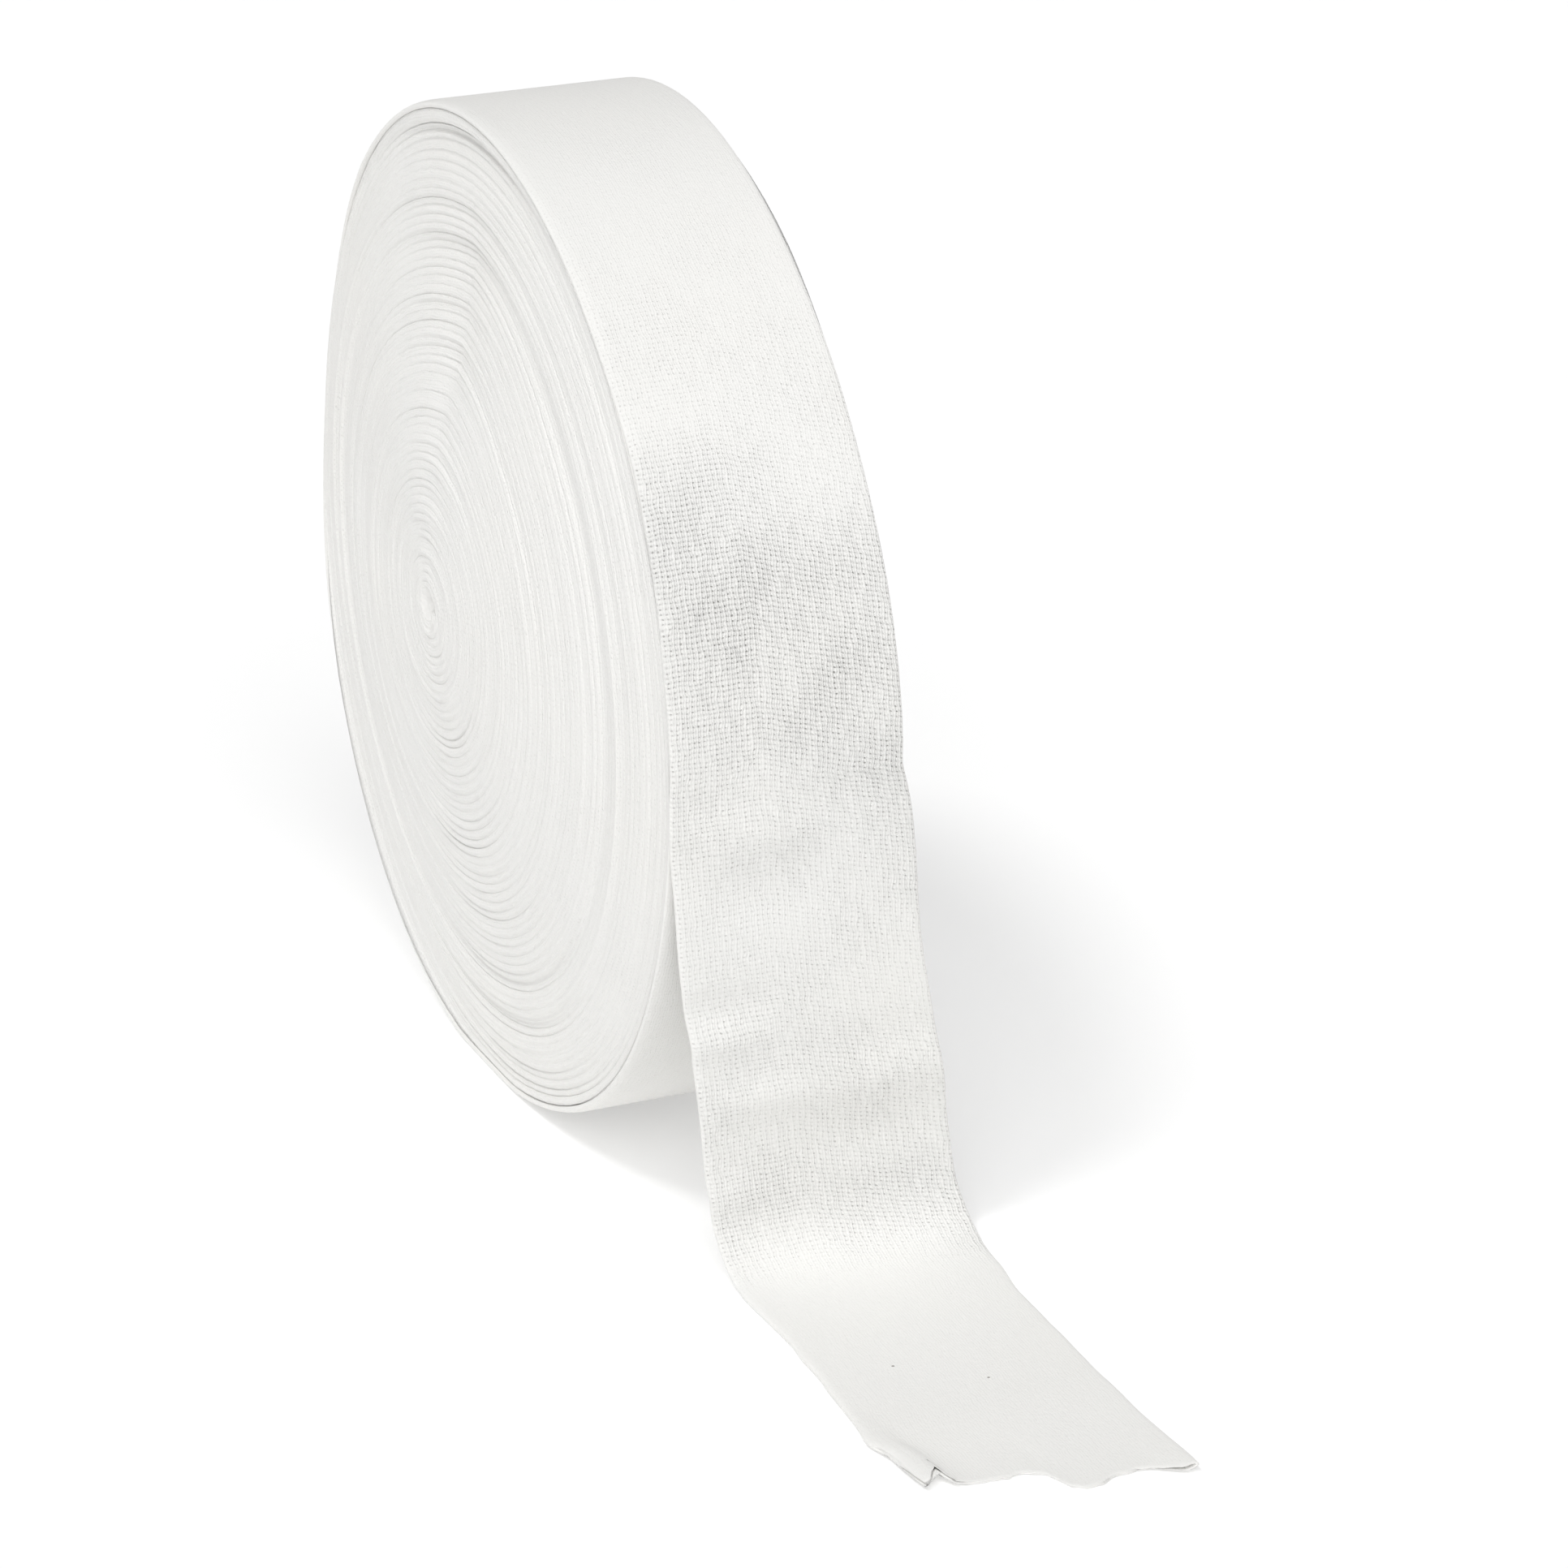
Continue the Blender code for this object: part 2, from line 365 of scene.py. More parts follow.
# How the cloth varies. Scales are to a metre, except where stitches are counted, and a span is
# the part of a noise that is spread over the whole range.
DRIFT_SCALE = 300.0
DRIFT = 1.1  # how far the rows wander, in stitches
UNEVEN_SCALE = 0.62  # to a stitch
UNEVEN_SPAN = (0.32, 0.72)
SMALLEST_HOLE = 0.25
PATCH_SCALE = 55.0
PATCH_SPAN = (0.3, 0.7)
CLOSEST_PATCH = 0.5
TINT_SCALE = 18.0
FUZZ_SCALE = 1100.0
FLECK_SHARE = 0.75  # how much of a fleck's own colour shows
ROUGHNESS = 0.86
ROUGHNESS_TINT = 0.14
RELIEF_STRENGTH = 0.9

# One stitch, as shares of its breadth and height.
SLANT = 0.45  # how far its legs rise to their middle
HOLE_HALF_WIDTH = 0.21
HOLE_HALF_HEIGHT = 0.22
HOLE_DEPTH = 0.3
HOLE_DEPTH_UNEVEN = 0.6
LEG_HEIGHT = 0.65
RUNG_HEIGHT = 0.4
FUZZ_HEIGHT = 0.5
OPEN_RELIEF = 0.9  # how much of the relief comes with open stitches
CLOSED_RELIEF = 0.08  # and how much is always there


def plain_knit(name, open_along, flecks):
    """White cotton in plain stitch: columns of small legs, with a pinhole in each stitch.
    The stitches stand more or less open along the cloth, given as pairs of a place in metres
    and a share. A fleck is the point where a crumb of seed husk is caught, and its half size."""
    material = bpy.data.materials.new(name)
    material.use_nodes = True
    tree = material.node_tree
    cotton = tree.nodes["Principled BSDF"]
    knit = Thread(tree)
    place = knit.node("ShaderNodeTexCoord", {}, {}, 3)
    stitches = knit.node("ShaderNodeUVMap", {"uv_map": "stitches"}, {})
    drift = knit.node(
        "ShaderNodeTexNoise", {}, {"Vector": place, "Scale": DRIFT_SCALE, "Detail": 2.0}, 1)
    wale = knit.node("ShaderNodeSeparateXYZ", {}, {0: stitches}, 0)
    course = knit.node("ShaderNodeSeparateXYZ", {}, {0: stitches}, 1)
    pull = knit.node("ShaderNodeSeparateXYZ", {}, {0: drift}, 0) - 0.5
    other_pull = knit.node("ShaderNodeSeparateXYZ", {}, {0: drift}, 1) - 0.5
    across = wale + pull * DRIFT
    x = across.maths("FRACT", across)
    aside = abs(x - 0.5) * 2.0
    run = course + other_pull * DRIFT
    y = run.maths("FRACT", run)
    slanted = run + aside * SLANT
    loop = slanted.maths("FRACT", slanted)
    leg = 1.0 - abs(aside - 0.5) * 2.0
    rung = 1.0 - abs(loop - 0.5) * 2.0
    x_off = (x - 0.5) / HOLE_HALF_WIDTH
    y_off = (y - 0.5) / HOLE_HALF_HEIGHT
    away = x_off * x_off + y_off * y_off
    hole = away.node(
        "ShaderNodeMapRange", {"interpolation_type": "SMOOTHSTEP"},
        {0: away, 1: 0.0, 2: 1.0, 3: 1.0, 4: 0.0})
    each = knit.node(
        "ShaderNodeTexNoise", {}, {"Vector": stitches, "Scale": UNEVEN_SCALE, "Detail": 0.0})
    low, high = UNEVEN_SPAN
    uneven = each.node(
        "ShaderNodeMapRange", {}, {0: each, 1: low, 2: high, 3: SMALLEST_HOLE, 4: 1.0})
    patch = knit.node(
        "ShaderNodeTexNoise", {}, {"Vector": place, "Scale": PATCH_SCALE, "Detail": 2.0})
    low, high = PATCH_SPAN
    cloudy = patch.node(
        "ShaderNodeMapRange", {}, {0: patch, 1: low, 2: high, 3: CLOSEST_PATCH, 4: 1.0})
    opened = open_along[0][1]
    for (near_place, low_share), (far_place, high_share) in zip(open_along, open_along[1:]):
        opened = opened + course.node(
            "ShaderNodeMapRange", {"interpolation_type": "SMOOTHSTEP"},
            {0: course, 1: near_place / COURSE, 2: far_place / COURSE,
             3: 0.0, 4: high_share - low_share})
    opened = cloudy * opened
    tint = knit.node(
        "ShaderNodeTexNoise", {}, {"Vector": place, "Scale": TINT_SCALE, "Detail": 3.0})
    colour = knit.node(
        "ShaderNodeMix", {"data_type": "RGBA"}, {0: tint, 6: COTTON, 7: COTTON_WARM}, 2)
    # Painted shade: each pinhole is darkened towards the pinhole shade, more where the stitches
    # stand open
    colour = knit.node(
        "ShaderNodeMix", {"data_type": "RGBA"},
        {0: hole * uneven * opened, 6: colour, 7: PINHOLE_SHADE}, 2)
    for point, half_size in flecks:
        distance = knit.node(
            "ShaderNodeVectorMath", {"operation": "DISTANCE"}, {0: place, 1: point}, 1)
        there = distance.node(
            "ShaderNodeMapRange", {"interpolation_type": "SMOOTHSTEP"},
            {0: distance, 1: half_size / 2, 2: half_size, 3: FLECK_SHARE, 4: 0.0})
        colour = knit.node(
            "ShaderNodeMix", {"data_type": "RGBA"}, {0: there, 6: colour, 7: FLECK}, 2)
    fuzz = knit.node(
        "ShaderNodeTexNoise", {}, {"Vector": place, "Scale": FUZZ_SCALE, "Detail": 4.0})
    sunk = hole * (HOLE_DEPTH + uneven * HOLE_DEPTH_UNEVEN)
    knitted = leg * LEG_HEIGHT + rung * RUNG_HEIGHT - sunk
    height = knitted * (opened * OPEN_RELIEF + CLOSED_RELIEF) + fuzz * FUZZ_HEIGHT
    relief = height.node(
        "ShaderNodeBump", {},
        {"Strength": RELIEF_STRENGTH, "Distance": STITCH_HEIGHT, "Height": height})
    tree.links.new(colour.socket, cotton.inputs["Base Color"])
    tree.links.new(relief.socket, cotton.inputs["Normal"])
    roughness = ROUGHNESS + tint * ROUGHNESS_TINT
    tree.links.new(roughness.socket, cotton.inputs["Roughness"])
    cotton.inputs["Specular IOR Level"].default_value = 0.2
    cotton.inputs["Sheen Weight"].default_value = 0.12
    cotton.inputs["Sheen Roughness"].default_value = 0.6
    return material


GROOVE = 0.05 * MM  # the narrowest groove between two folds
GAP_BROADEST = 0.5 * MM
GAP_INWARD = 0.2  # how much of a gap's depth the bottom of the groove takes

FIRM = 0.7  # how firmly a fold is rounded,
FIRM_SWING = 1.4  # how far that wanders,
FIRM_WAVES = 1.9  # how quickly, to a turn,
FIRM_LEAST = 0.1  # and the least of it
FIRM_PRESSED = 0.15  # the share of it left where the turns are pressed shut
FIRM_GAPING = 0.85  # and the share that comes where they gape


def face_of_folds(cloth, side, arc_steps):
    """The spiral of folds on one face, from the rim in. Gives its point numbers."""
    per_turn = arc_steps + 1
    rows = []
    for turn in range(TURNS):
        ridge = [[] for _ in range(per_turn)]
        for column in range(COLUMNS):
            turns = 1 + turn + column / COLUMNS
            outer = cloth_radius(turns)
            pitch = outer - cloth_radius(turns + 1)
            out, gap = fold_out(side, turns, outer - pitch / 2)
            outer_out, _ = fold_out(side, max(turns - 1, 1), outer + pitch / 2)
            inner_out, _ = fold_out(side, turns + 1, outer - pitch * 1.5)
            fold = min(pitch - GROOVE, FOLD) - min(gap * GAP_BREADTH, GAP_BROADEST)
            swing = FIRM_SWING * wander(turns * FIRM_WAVES, FIRM_LANE + side)
            firm = max(FIRM_LEAST, FIRM + swing)
            firm *= FIRM_PRESSED + FIRM_GAPING * gape(turns % 1 * 360)
            for step in range(per_turn):
                share = step / arc_steps
                level = (outer_out - out) * smooth_step(1 - share * 2)
                level += (inner_out - out) * smooth_step(share * 2 - 1)
                back = FOLD_ROUND * firm * (1 - math.sin(math.pi * share)) - level / 2
                if step in (0, arc_steps):
                    back += gap * GAP_INWARD
                point = on_roll(turns, outer - fold * share, side * (out - back))
                ridge[step].append(cloth.add_point(point))
        rows.extend(ridge)

    def corner(row, column, stitch_row):
        turn, step = divmod(stitch_row, per_turn)
        turns = 1 + turn + column / COLUMNS
        round_fold = FOLD / WALE * (step / arc_steps - 0.5)
        fold_wale = 0 if side < 0 else WALES / 2
        if column == COLUMNS:
            row += per_turn
            column = 0
        return rows[row][column], (fold_wale - side * round_fold, -cloth_length(turns) / COURSE)

    def add(corners):
        cloth.add_face(corners if side > 0 else corners[::-1])

    for row in range(len(rows) - 1):
        below = row if row % per_turn == arc_steps else row + 1
        for column in range(COLUMNS):
            if column == COLUMNS - 1 and row + 1 + per_turn >= len(rows):
                break
            add([corner(row, column, row), corner(row, column + 1, row),
                 corner(row + 1, column + 1, below), corner(row + 1, column, below)])
    last = len(rows) - 1
    hollow = [rows[last][column] for column in range(COLUMNS)]
    hollow += [rows[row][COLUMNS - 1] for row in range(last - 1, last - per_turn - 1, -1)]
    radius = cloth_radius(TURNS + 1) - TURN
    out, _ = fold_out(side, TURNS + 1, radius)
    middle = cloth.add_point(on_roll(TURNS + 1, 0.0, side * (out - 2 * FOLD)))
    for here, there in zip(hollow, hollow[1:] + hollow[:1]):
        add([(number, (0.0, 0.0)) for number in (here, there, middle)])
    return rows, per_turn


roll = Cloth()
near_rows, near_turn = face_of_folds(roll, -1, NEAR_ARC_STEPS)
far_rows, far_turn = face_of_folds(roll, 1, FAR_ARC_STEPS)

INSIDE_CLOTH = 0.1 * MM  # how far inside the last turn it touches the turn below
JUST_UNDER_TWO = 1.999  # turns
HAIR = 0.0001  # of a turn, to keep off a whole one


def rim_line(rows, per_turn):
    """The outermost groove of one face, all the way round to where the last turn begins."""
    return rows[0] + [rows[per_turn][0]]


def touching_line(side):
    """Inside the last turn's gap, where it touches the turn below."""
    line = []
    for column in range(COLUMNS + 1):
        turns = 1 + column / COLUMNS
        radius = cloth_radius(turns - 1) - CLOTH - INSIDE_CLOTH
        out, _ = fold_out(side, min(turns, JUST_UNDER_TWO), radius)
        out -= GROOVE + CLOSED_AT * between(LIP, 2, column / COLUMNS * 360)
        here = turns - (HAIR if column == COLUMNS else 0.0)
        line.append(roll.add_point(on_roll(here, radius, side * out)))
    return line


lanes = [rim_line(near_rows, near_turn), touching_line(-1), touching_line(1),
         rim_line(far_rows, far_turn)]
lane_wales = (1.4, 3.0, 41.0, 42.6)  # where each of these lies round the tube
for low_lane, high_lane, low_wale, high_wale in zip(lanes, lanes[1:], lane_wales, lane_wales[1:]):
    for column in range(COLUMNS):
        here = -cloth_length(1 + column / COLUMNS) / COURSE
        there = -cloth_length(1 + (column + 1) / COLUMNS) / COURSE
        roll.add_face([
            (low_lane[column], (low_wale, here)), (low_lane[column + 1], (low_wale, there)),
            (high_lane[column + 1], (high_wale, there)), (high_lane[column], (high_wale, here))])
start_course = -cloth_length(1.0) / COURSE
wall = [near_rows[row][0] for row in range(near_turn + 1)]
wall += [lanes[1][-1], lanes[2][-1]]
wall += [far_rows[row][0] for row in range(far_turn, -1, -1)]
wall += [lanes[2][0], lanes[1][0]]
roll.add_face([(number, (0.0, start_course)) for number in wall][::-1])

# A crumb of seed husk in the face: where it is, and half its size.
HUSK = [(Vector((0.0505, -0.0332, 0.1655)), 0.5 * MM)]
roll_knit = plain_knit("roll_knit", [(0.0, 0.2)], HUSK)
wound_turns = roll.finish("wound_turns", roll_knit)
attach(wound_turns, "root")
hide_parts("wound_roll")

# Last turn and loose end
# The same cloth goes once more round the roll, leaves it at the front, hangs, bends on to the
# surface and ends in a raw cut, where the tube's two layers part and its mouth shows.

# Its line down the front and along the surface, at the middle of the cloth. Columns: forward
# of where it leaves, height, near edge and far edge along Y, in millimetres.
TAIL_LINE = (
    (0.0, 113.6, -25.2, 28.7),
    (-0.1, 104.0, -25.3, 30.7),
    (0.0, 92.5, -24.6, 31.9),
    (0.1, 73.5, -23.5, 33.2),
    (0.4, 54.0, -21.1, 36.2),
    (0.5, 38.0, -19.2, 38.9),
    (0.2, 24.0, -17.9, 40.5),
    (0.8, 13.0, -16.6, 41.9),
    (3.6, 6.2, -15.6, 43.2),
    (9.2, 2.3, -15.3, 43.5),
    (17.5, 0.98, -15.1, 43.0),
    (33.0, 0.88, -14.2, 41.8),
    (57.0, 0.88, -14.7, 41.0),
    (76.0, 0.88, -16.0, 40.7),
    (87.0, 0.88, -16.8, 41.4),
    (95.0, 0.88, -15.4, 42.0),
    (106.0, 0.88, -14.7, 41.7),
)
LINE_STEP = 1.5 * MM  # steps along it

# Soft ripples across the hanging cloth. Columns: height of the ripple's middle, how far it
# rises from the near edge to the far edge, how far it stands forward, half its breadth, and
# its place and half its reach across the cloth, from 0 at the near edge to 1.
RIPPLES = (
    (114.0, 0.0, -0.5, 12.0, 0.85, 0.40),
    (122.0, 0.0, 0.5, 8.0, 0.80, 0.35),
    (112.0, 0.0, -0.6, 8.0, 0.10, 0.35),
    (103.0, 0.0, 0.8, 9.0, 0.42, 0.35),
    (98.0, 0.0, -0.7, 14.0, 0.0, 0.20),
    (90.0, 0.0, -0.9, 11.0, 0.35, 0.35),
    (64.0, 0.0, -1.0, 6.0, 0.15, 0.30),
    (55.5, 0.0, 1.1, 5.5, 0.12, 0.30),
    (50.0, 0.0, -0.4, 9.0, 0.80, 0.45),
    (40.0, 0.0, 0.9, 12.0, 0.78, 0.60),
    (41.0, 0.0, 0.8, 6.0, 0.28, 0.30),
    (27.0, 5.0, -1.0, 12.0, 0.62, 0.70),
    (34.0, 0.0, -0.5, 6.0, 0.28, 0.30),
    (18.0, 0.0, 0.8, 7.0, 0.05, 0.25),
)

# The raw end, where it was cut. Columns: place across the cloth, and how far the cut runs past
# the line's end, in millimetres.
CUT = (
    (0.00, -9.0),
    (0.02, 1.1),
    (0.06, 0.3),
    (0.095, -1.9),
    (0.13, 1.9),
    (0.27, 2.5),
    (0.35, 3.4),
    (0.39, 2.2),
    (0.48, 4.8),
    (0.52, 11.3),
    (0.57, 13.2),
    (0.65, 12.7),
    (0.72, 10.5),
    (0.76, 11.4),
    (0.78, 10.3),
    (0.87, 12.0),
    (0.92, 14.2),
    (0.96, 15.6),
    (1.00, 15.3),
)
RAGGED = 0.5 * MM  # how far single loops stand out of the cut, or are missing
RAGGED_WAVES = 46  # how quickly that changes across the cloth
RAGGED_LANE = 21

# How the raw end lies. Columns: place across the cloth, how far the edge lifts off the
# surface, how far back it lifts, and how far the layers part, in millimetres.
RAW_END = (
    (0.00, 1.0, 36.0, 0.3),
    (0.05, 2.0, 34.0, 0.3),
    (0.09, 2.2, 28.0, 0.3),
    (0.13, 1.2, 22.0, 0.1),
    (0.17, 0.5, 18.0, 0.0),
    (0.24, 0.1, 12.0, 0.0),
    (0.44, 0.3, 12.0, 0.0),
    (0.57, 0.0, 12.0, 0.0),
    (0.77, 0.3, 12.0, 0.0),
    (0.87, 0.5, 14.0, 0.0),
    (0.94, 1.0, 16.0, 0.7),
    (1.00, 1.6, 18.0, 0.8),
)
MOUTH = (0.08, 0.05)  # where across the cloth the upper layer is cut shorter, and half its reach
MOUTH_BACK = 2.2 * MM  # how much shorter
THINNED = 0.7  # how much thinner the cloth lies at its cut
CUT_REACH = 26.0 * MM  # how far back from the cut that begins
POCKET = 5.0 * MM  # how far into its mouth the tube is made hollow
PARTED_POCKETS = 2.5  # how many times as far back the layers part
LAYER = 0.75 * MM  # one layer of the tube
TOUCHING = 0.02 * MM  # how far apart the layers lie where they touch
WAVY = 0.7 * MM  # how far the edges of the lying cloth run in and out
WAVE_LENGTH = 11  # how quickly they do, in millimetres
LYING_FROM = 70  # millimetres before the cut, where the cloth lies flat
LYING_FADE = 40  # millimetres over which the edges grow still towards the roll
NEAR_LANE = 31
FAR_LANE = 32
EDGE = 1.3 * MM  # how far in from a folded edge its round reaches
EDGE_ON_ROLL = 3.0 * MM  # the same over the near edge where it is wound on the roll
EDGE_BELOW = 0.6 * MM  # and under it, where it lies on the turn below
ACROSS = 44  # steps across, one to a wale
ROLL_STEPS = 144  # steps in the turn that is still on the roll
START_HAIR = 0.0002  # of a turn, to keep off a whole one
RIPPLED_TURNS = 0.06  # how far on to the roll the ripples go on
WOUND_RISE = 12  # how quickly, to a turn, the edges lie pressed on the roll
SKEW_FROM = 0.38  # across the cloth, where the courses begin to run down
SKEW = 0.30  # how steeply they run down from there


def smooth_line(points, step):
    """A Catmull-Rom curve through points of four numbers, sampled at about one step."""
    ends = [points[0]] + list(points) + [points[-1]]
    line = []
    for before, start, end, after in zip(ends, ends[1:], ends[2:], ends[3:]):
        count = max(1, round(math.dist(start[:2], end[:2]) / step))
        for i in range(count):
            t = i / count
            line.append(tuple(
                0.5 * (2 * b + (c - a) * t + (2 * a - 5 * b + 4 * c - d) * t * t
                       + (3 * b - a - 3 * c + d) * t ** 3)
                for a, b, c, d in zip(before, start, end, after)))
    return line + [points[-1]]


def ripple(height, across):
    total = 0.0
    for middle, rise, forward, half, place, reach in RIPPLES:
        there = middle * MM + rise * MM * across
        total += forward * MM * bump(height - there, half * MM) * bump(across - place, reach)
    return total


def places_across():
    """Places across the cloth, closer together where its edges turn over."""
    edge = [0.0, 0.03, 0.12, 0.28, 0.55]
    return ([e / ACROSS for e in edge] + [k / ACROSS for k in range(1, ACROSS)]
            + [1 - e / ACROSS for e in edge[::-1]])


def half_thickness(across, width, full, near_edge):
    """Half the cloth's thickness at a place across it, round at the folded edges."""
    turned = min(across * width / near_edge, (1 - across) * width / EDGE, 1.0)
    return full * math.sqrt(1 - (1 - turned) ** 2)


def section(middle_line, outward, width, thickness, edge_over, edge_under):
    """Points once round the flat tube: over it from the near edge, and back under it."""
    over = []
    under = []
    for across, middle in middle_line:
        full = thickness(across) / 2
        over.append(middle + outward * half_thickness(across, width, full, edge_over))
        under.append(middle - outward * half_thickness(across, width, full, edge_under))
    return over + under[-2:0:-1]


places = places_across()
loose = Cloth()
rings = []
courses = []


def lay_section(points, course):
    rings.append([loose.add_point(Vector((p.x, p.y, max(p.z, 0.0)))) for p in points])
    courses.append(course)


def both_layers(across):
    return CLOTH


for step in range(ROLL_STEPS):
    turns = 1 - step / ROLL_STEPS - (START_HAIR if step == 0 else 0.0)
    radius = cloth_radius(turns) - CLOTH / 2
    near, _ = fold_out(-1, turns, radius)
    far, _ = fold_out(1, turns, radius)
    angle = math.radians(turns * 360)
    outward = Vector((math.cos(angle), 0, math.sin(angle)))
    line = []
    for across in places:
        y = -near + (near + far) * across
        middle = on_roll(turns, radius, y)
        middle += outward * ripple(middle.z, across) * smooth_step(1 - turns / RIPPLED_TURNS)
        line.append((across, middle))
    wound = smooth_step(turns * WOUND_RISE)
    edge_over = EDGE + (EDGE_ON_ROLL - EDGE) * wound
    edge_under = EDGE + (EDGE_BELOW - EDGE) * wound
    tube = section(line, outward, near + far, both_layers, edge_over, edge_under)
    lay_section(tube, -cloth_length(turns) / COURSE)

leaves = ROLL_RADIUS + out_of_round(0.0) - CLOTH / 2
tail_points = [tuple(v * MM for v in point) for point in TAIL_LINE]
line = smooth_line([(leaves + x, z, near, far) for x, z, near, far in tail_points], LINE_STEP)
left = [0.0]
for here, there in zip(line[::-1], line[-2::-1]):
    left.append(left[-1] + math.dist(here[:2], there[:2]))
left.reverse()


def tail_section(i, inset):
    """The tube's section at a point of its line, outside, or inset for its mouth."""
    x, z, near, far = line[i]
    lying = smooth_step(1 - (left[i] / MM - LYING_FROM) / LYING_FADE)
    near += WAVY * lying * wander(left[i] / MM / WAVE_LENGTH, NEAR_LANE)
    far += WAVY * lying * wander(left[i] / MM / WAVE_LENGTH, FAR_LANE)
    before, after = line[max(i - 1, 0)], line[min(i + 1, len(line) - 1)]
    along = Vector((after[0] - before[0], 0, after[1] - before[1])).normalized()
    outward = Vector((-along.z, 0, along.x))
    cut = smooth_step(1 - left[i] / CUT_REACH)
    middles = []
    for across in places:
        inside = across if not inset else 0.5 + (across - 0.5) * (1 - 2 * LAYER / (far - near))
        lift = smooth_step(1 - left[i] / (between(RAW_END, 2, across) * MM))
        rise = lift * between(RAW_END, 1, across) * MM - cut * THINNED * CLOTH / 2
        middle = Vector((x, near + (far - near) * inside, z))
        ragged = RAGGED * wander(across * RAGGED_WAVES, RAGGED_LANE)
        past = between(CUT, 1, across) * MM + ragged
        middle += along * cut * past + outward * (ripple(z, across) + rise)
        middles.append((across, middle))

    def thickness(across):
        mouth = smooth_step(1 - left[i] / (POCKET * PARTED_POCKETS))
        parted = mouth * between(RAW_END, 3, across) * MM
        walls = CLOTH * (1 - cut * THINNED) - TOUCHING if inset else 0.0
        return CLOTH * (1 - cut * THINNED) + parted - walls

    tube = section(middles, outward, far - near, thickness, EDGE, EDGE)
    for k, across in enumerate(places):
        tube[k] -= along * cut * MOUTH_BACK * bump(across - MOUTH[0], MOUTH[1])
    return tube


for i in range(len(line)):
    lay_section(tail_section(i, False), (left[0] - left[i]) / COURSE)
inner = [i for i in range(len(line) - 1, -1, -1) if left[i] < POCKET]
for i in inner:
    lay_section(tail_section(i, True), (left[0] - left[i]) / COURSE)


def stitch(k, course):
    """The wale and course of the k-th point round a section, courses running down skewed."""
    count = len(places) - 1
    if k <= count:
        across = places[k]
        wale = across * WALES / 2
        down = max(across - SKEW_FROM, 0.0)
    else:
        across = places[count - (k - count)]
        wale = WALES - across * WALES / 2
        down = (1 - SKEW_FROM) * across
    return wale, course - down * SKEW * TAPE_WIDTH / COURSE


count = len(rings[0])
for ring, following, course, next_course in zip(rings, rings[1:], courses, courses[1:]):
    for k in range(count):
        j = (k + 1) % count
        loose.add_face([
            (ring[k], stitch(k, course)), (following[k], stitch(k, next_course)),
            (following[j], stitch(k + 1, next_course)), (ring[j], stitch(k + 1, course))])
loose.add_face([(number, (0.0, courses[0])) for number in rings[0]])
loose.add_face([(number, (0.0, courses[-1])) for number in rings[-1]][::-1])

# How open the stitches stand, which also sets how much painted shade shows in their pinholes.
# Pairs: metres along the cloth from where it leaves, and a share.
OPEN_ALONG = [
    (-0.150, 0.15),
    (-0.085, 0.45),
    (-0.045, 1.15),
    (-0.020, 1.25),
    (0.004, 0.85),
    (0.040, 0.50),
    (0.070, 0.65),
    (0.100, 0.75),
    (0.125, 0.06),
]
# Two more crumbs of husk, in the cloth that lies on the surface.
FLECKS = [
    (Vector((0.1737, 0.0013, 0.0018)), 0.45 * MM),
    (Vector((0.1862, 0.0178, 0.0018)), 0.4 * MM),
]
tail_knit = plain_knit("tail_knit", OPEN_ALONG, FLECKS)
loose_cloth = loose.finish("last_turn_and_loose_end", tail_knit)
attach(loose_cloth, "root")
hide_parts("loose_tail")

# Floor and light
# A plain white floor that glows a little as a light table does, a soft light high over the
# face to -Y, a softer one from the front, a faint one from behind, and pale surroundings that
# are brightest low down.
FLOOR_HALF = 6.0
FLOOR_GLOW = 0.225
FLOOR_WHITE = 0.88
floor_mesh = bpy.data.meshes.new("pale_floor")
floor_corners = [(-FLOOR_HALF, -FLOOR_HALF, 0), (FLOOR_HALF, -FLOOR_HALF, 0),
                 (FLOOR_HALF, FLOOR_HALF, 0), (-FLOOR_HALF, FLOOR_HALF, 0)]
floor_mesh.from_pydata(floor_corners, [], [(0, 1, 2, 3)])
floor = bpy.data.objects.new("pale_floor", floor_mesh)
bpy.context.scene.collection.objects.link(floor)
paint = bpy.data.materials.new("pale_floor")
paint.use_nodes = True
glow = paint.node_tree.nodes["Principled BSDF"]
glow.inputs["Base Color"].default_value = (FLOOR_WHITE, FLOOR_WHITE, FLOOR_WHITE, 1.0)
glow.inputs["Roughness"].default_value = 0.9
glow.inputs["Specular IOR Level"].default_value = 0.1
glow.inputs["Emission Color"].default_value = (1.0, 1.0, 1.0, 1.0)
glow.inputs["Emission Strength"].default_value = FLOOR_GLOW
floor_mesh.materials.append(paint)


def looking_from(azimuth, elevation):
    """The direction towards a place so many degrees round from -Y and up."""
    a = math.radians(azimuth)
    e = math.radians(elevation)
    return Vector((math.sin(a) * math.cos(e), -math.cos(a) * math.cos(e), math.sin(e)))


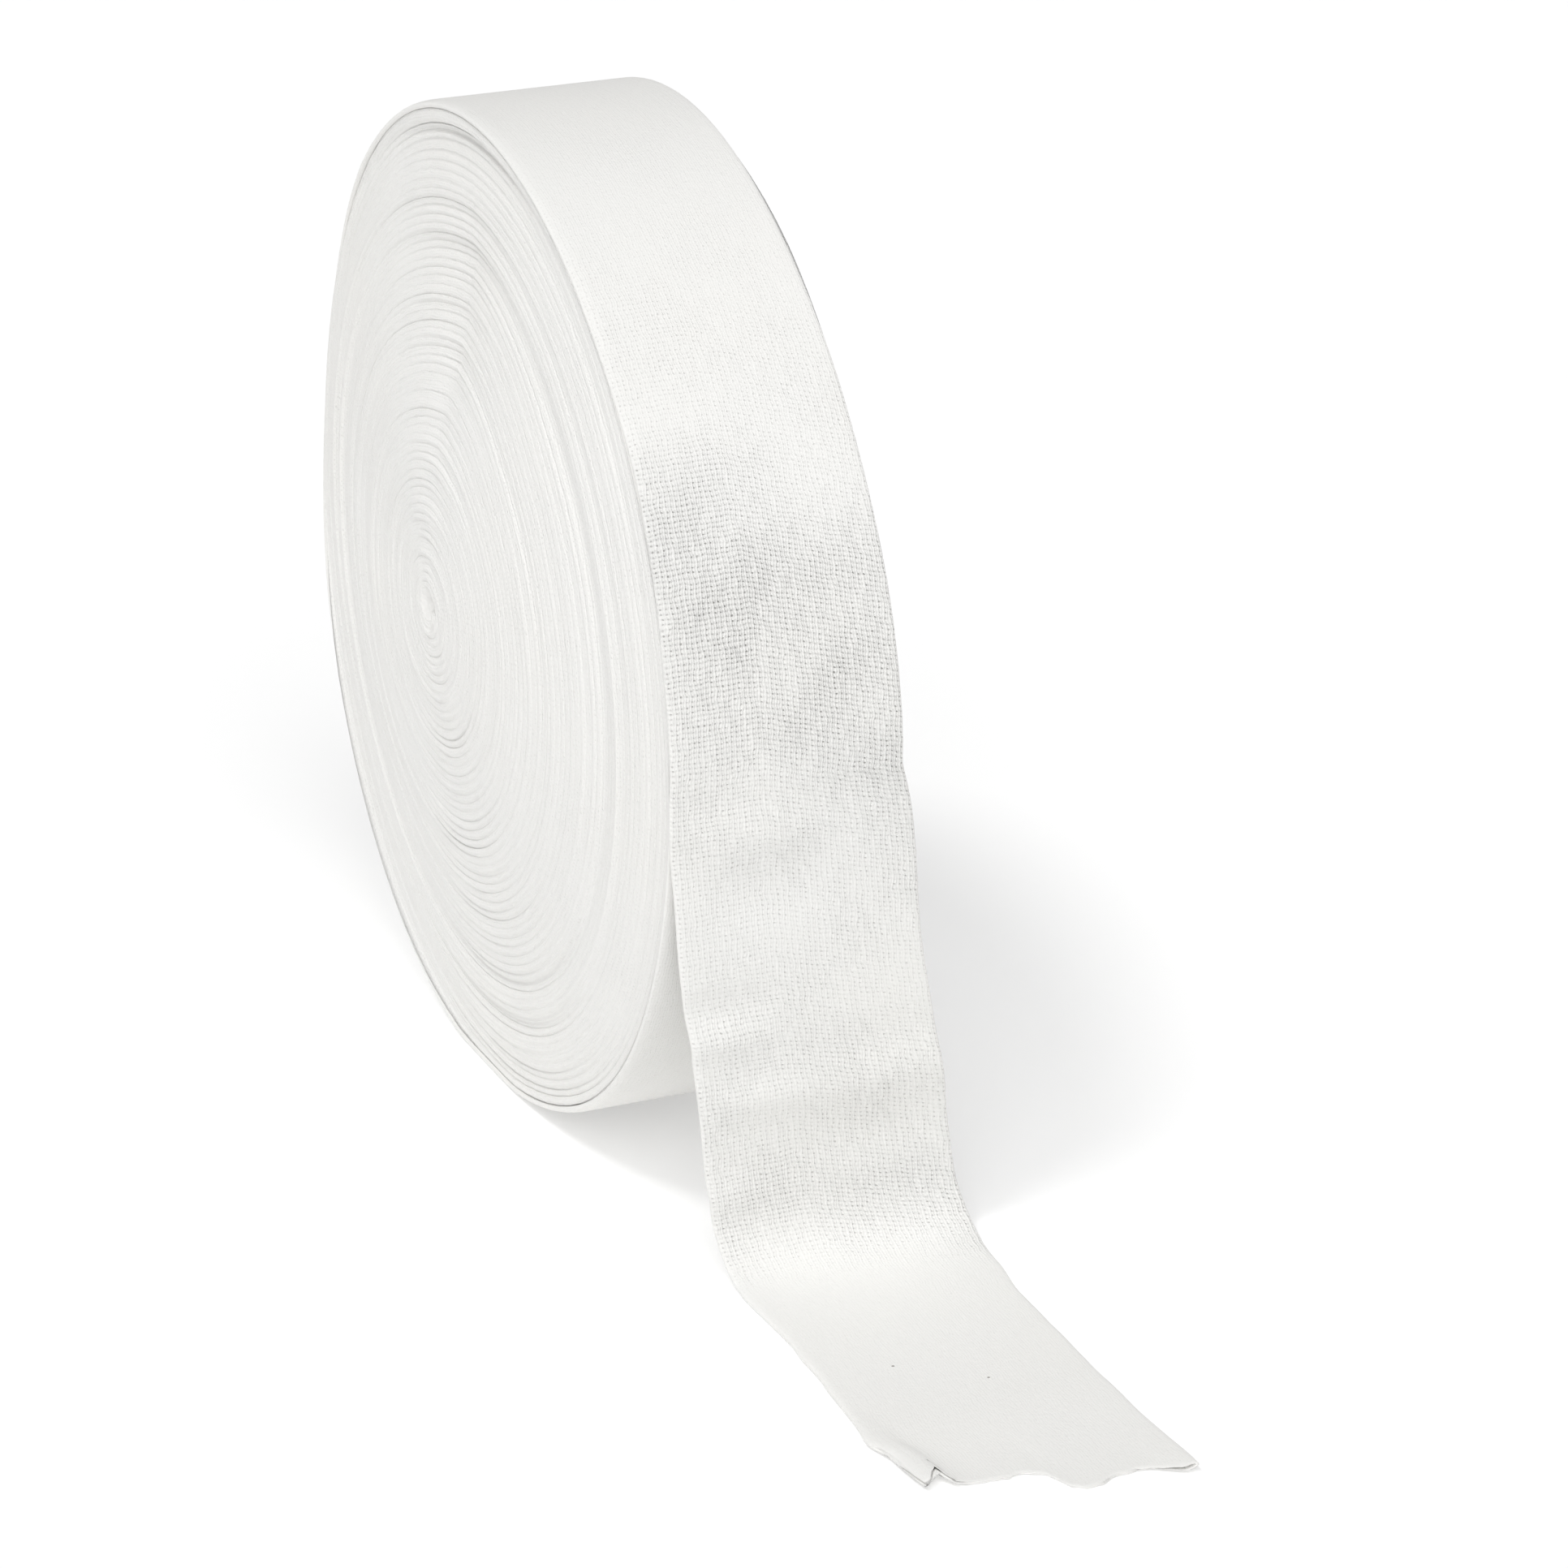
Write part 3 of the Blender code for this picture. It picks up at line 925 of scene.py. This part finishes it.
def soft_light(name, azimuth, elevation, softness, strength):
    """A far light from a direction, and how broad it looks, in degrees."""
    light = bpy.data.lights.new(name, "SUN")
    light.angle = math.radians(softness)
    light.energy = strength
    lamp = bpy.data.objects.new(name, light)
    lamp.rotation_mode = "QUATERNION"
    lamp.rotation_quaternion = (-looking_from(azimuth, elevation)).to_track_quat("-Z", "Y")
    bpy.context.scene.collection.objects.link(lamp)


soft_light("key", 15.0, 62.0, 13.0, 0.84)
soft_light("fill", 68.0, 49.0, 45.0, 1.52)
soft_light("back", 180.0, 40.0, 60.0, 0.22)

SKY = 0.245  # overhead
LOW_SKY = 0.75  # where it meets the floor
LOW_SKY_TOP = 0.12  # how high that reaches, as a sine
SKY_BOTTOM = 0.24  # from where up it is all overhead sky
world = bpy.context.scene.world or bpy.data.worlds.new("surroundings")
bpy.context.scene.world = world
world.use_nodes = True
around = Thread(world.node_tree)
upward = around.node("ShaderNodeTexCoord", {}, {}, 0)
height = around.node("ShaderNodeSeparateXYZ", {}, {0: upward}, 2)
brightness = around.node(
    "ShaderNodeMapRange", {"interpolation_type": "SMOOTHSTEP"},
    {0: height, 1: LOW_SKY_TOP, 2: SKY_BOTTOM, 3: LOW_SKY, 4: SKY})
background = world.node_tree.nodes["Background"]
background.inputs["Color"].default_value = (1.0, 1.0, 1.0, 1.0)
world.node_tree.links.new(brightness.socket, background.inputs["Strength"])
bpy.context.scene.view_settings.view_transform = "Standard"

# Camera, at the photograph's viewing angle
VIEW_AZIMUTH = 66.906
VIEW_ELEVATION = 22.397
VIEW_DISTANCE = 1.343878
VIEW_AIM = Vector((0.03306, 0.03618, 0.07613))
LENS = 134.43  # millimetres, as the next is
FRAME_WIDTH = 36.0
back = looking_from(VIEW_AZIMUTH, VIEW_ELEVATION)
camera_data = bpy.data.cameras.new("camera")
camera_data.sensor_width = FRAME_WIDTH
camera_data.lens = LENS
camera = bpy.data.objects.new("camera", camera_data)
camera.location = VIEW_AIM + back * VIEW_DISTANCE
camera.rotation_mode = "QUATERNION"
camera.rotation_quaternion = (-back).to_track_quat("-Z", "Y")
bpy.context.scene.collection.objects.link(camera)
bpy.context.scene.camera = camera
